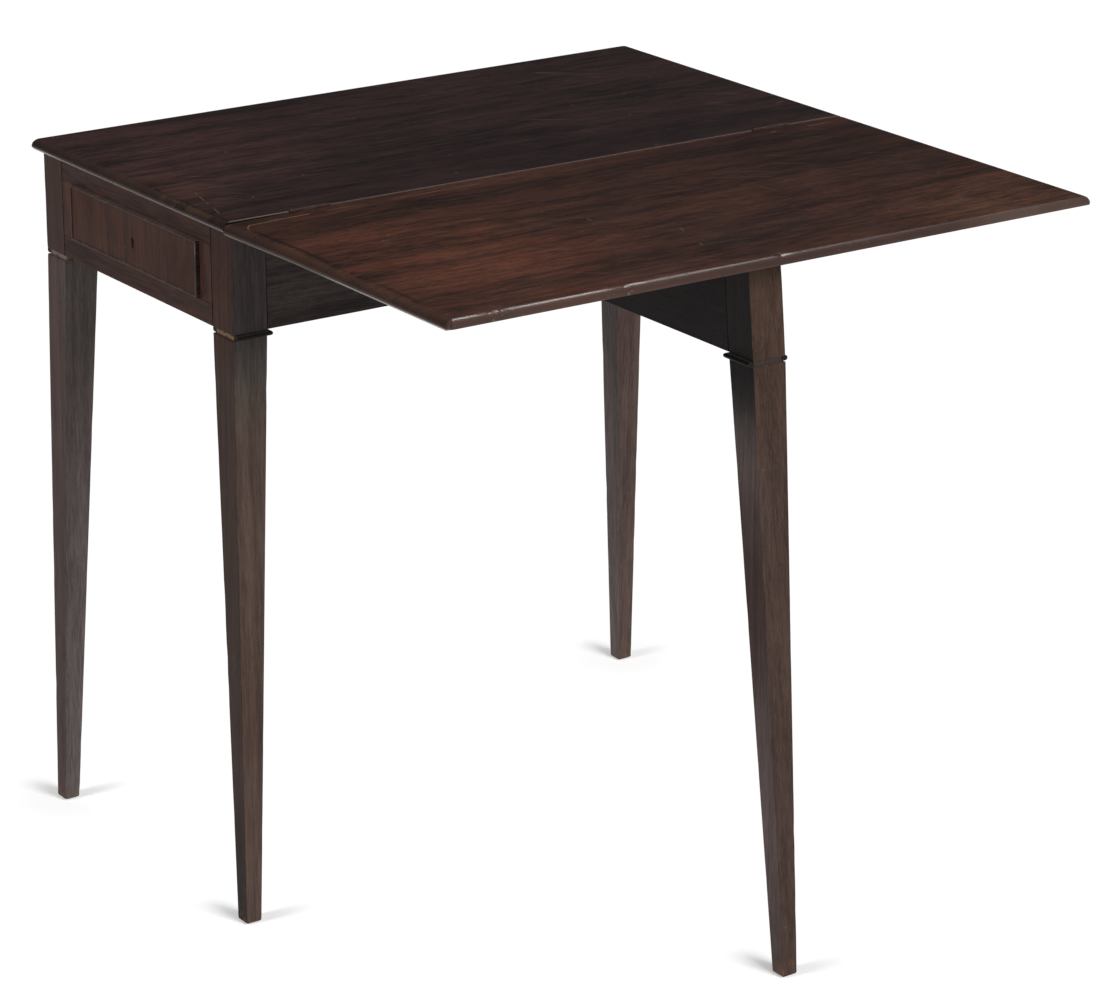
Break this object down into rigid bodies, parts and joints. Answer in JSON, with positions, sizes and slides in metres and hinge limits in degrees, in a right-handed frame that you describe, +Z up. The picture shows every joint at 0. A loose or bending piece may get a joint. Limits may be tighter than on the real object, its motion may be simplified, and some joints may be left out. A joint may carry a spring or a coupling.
{
  "type": "fold-over table",
  "caption": "Dark mahogany fold-over side table on tapered square legs, its leaf opened flat on a swinging gate leg, with a locking drawer in one end.",
  "frame": {"origin": "on the floor, at the bottom centre of the opened table's bounding box", "axes": "+X along the table, away from the drawer end; +Y to the back, away from the opened leaf; +Z up"},
  "size_m": [0.738, 0.7946, 0.7216],
  "materials": {
    "mahogany": "old polished mahogany, red brown",
    "dark_mahogany": "old polished mahogany, almost black",
    "oak": "unpolished oak linings",
    "brass": "patinated",
    "iron": "dark, dry"
  },
  "bodies": {
    "frame": {"back_rail": "mahogany", "collar_back_left": "dark_mahogany", "collar_back_right": "dark_mahogany", "collar_front_left": "dark_mahogany", "drawer_guide_back": "oak", "drawer_guide_front": "oak", "drawer_kicker_back": "oak", "drawer_kicker_front": "oak", "drawer_lower_rail": "mahogany", "drawer_runner_back": "oak", "drawer_runner_front": "oak", "drawer_stile_back": "mahogany", "drawer_stile_front": "mahogany", "drawer_stop_back": "oak", "drawer_stop_front": "oak", "drawer_upper_rail": "mahogany", "fixed_top": "dark_mahogany", "gate_stop": "oak", "hinge_left_fixed": "brass", "hinge_left_pin": "iron", "hinge_right_fixed": "brass", "hinge_right_pin": "iron", "inner_front_rail": "oak", "knuckle_pin": "iron", "leg_back_left": "mahogany", "leg_back_right": "mahogany", "leg_front_left": "mahogany", "outer_front_rail": "mahogany", "packing_block_left": "oak", "packing_block_right": "oak", "right_end_rail": "mahogany", "top_screw_1": "iron", "top_screw_2": "iron", "top_screw_3": "iron", "top_screw_4": "iron"},
    "leaf": {"leaf_board": "mahogany", "hinge_left_leaf": "brass", "hinge_right_leaf": "brass"},
    "gate": {"gate_leg": "mahogany", "gate_rail": "mahogany", "collar_gate": "dark_mahogany"},
    "drawer": {"drawer_front": "mahogany", "drawer_side_front": "oak", "drawer_side_back": "oak", "drawer_back": "oak", "drawer_bottom": "oak", "drawer_bead_top": "dark_mahogany", "drawer_bead_bottom": "dark_mahogany", "drawer_bead_front": "dark_mahogany", "drawer_bead_back": "dark_mahogany", "lock_case": "brass", "keyhole_liner": "brass"},
    "lock_bolt": {"lock_bolt": "iron"}
  },
  "joints": [
    {"name": "leaf_fold", "type": "hinge", "parent": "frame", "child": "leaf", "pos_m": [0, 0.00903, 0.7202], "axis": [-1, 0, 0], "range_deg": [0, 180]},
    {"name": "gate_swing", "type": "hinge", "parent": "frame", "child": "gate", "pos_m": [0.006, 0.02033, 0], "axis": [0, 0, 1], "range_deg": [0, 90]},
    {"name": "drawer_slide", "type": "slide", "parent": "frame", "child": "drawer", "axis": [-1, 0, 0], "range_m": [0, 0.3]},
    {"name": "lock_bolt_throw", "type": "slide", "parent": "drawer", "child": "lock_bolt", "axis": [0, 0, 1], "range_m": [0, 0.006]}
  ]
}
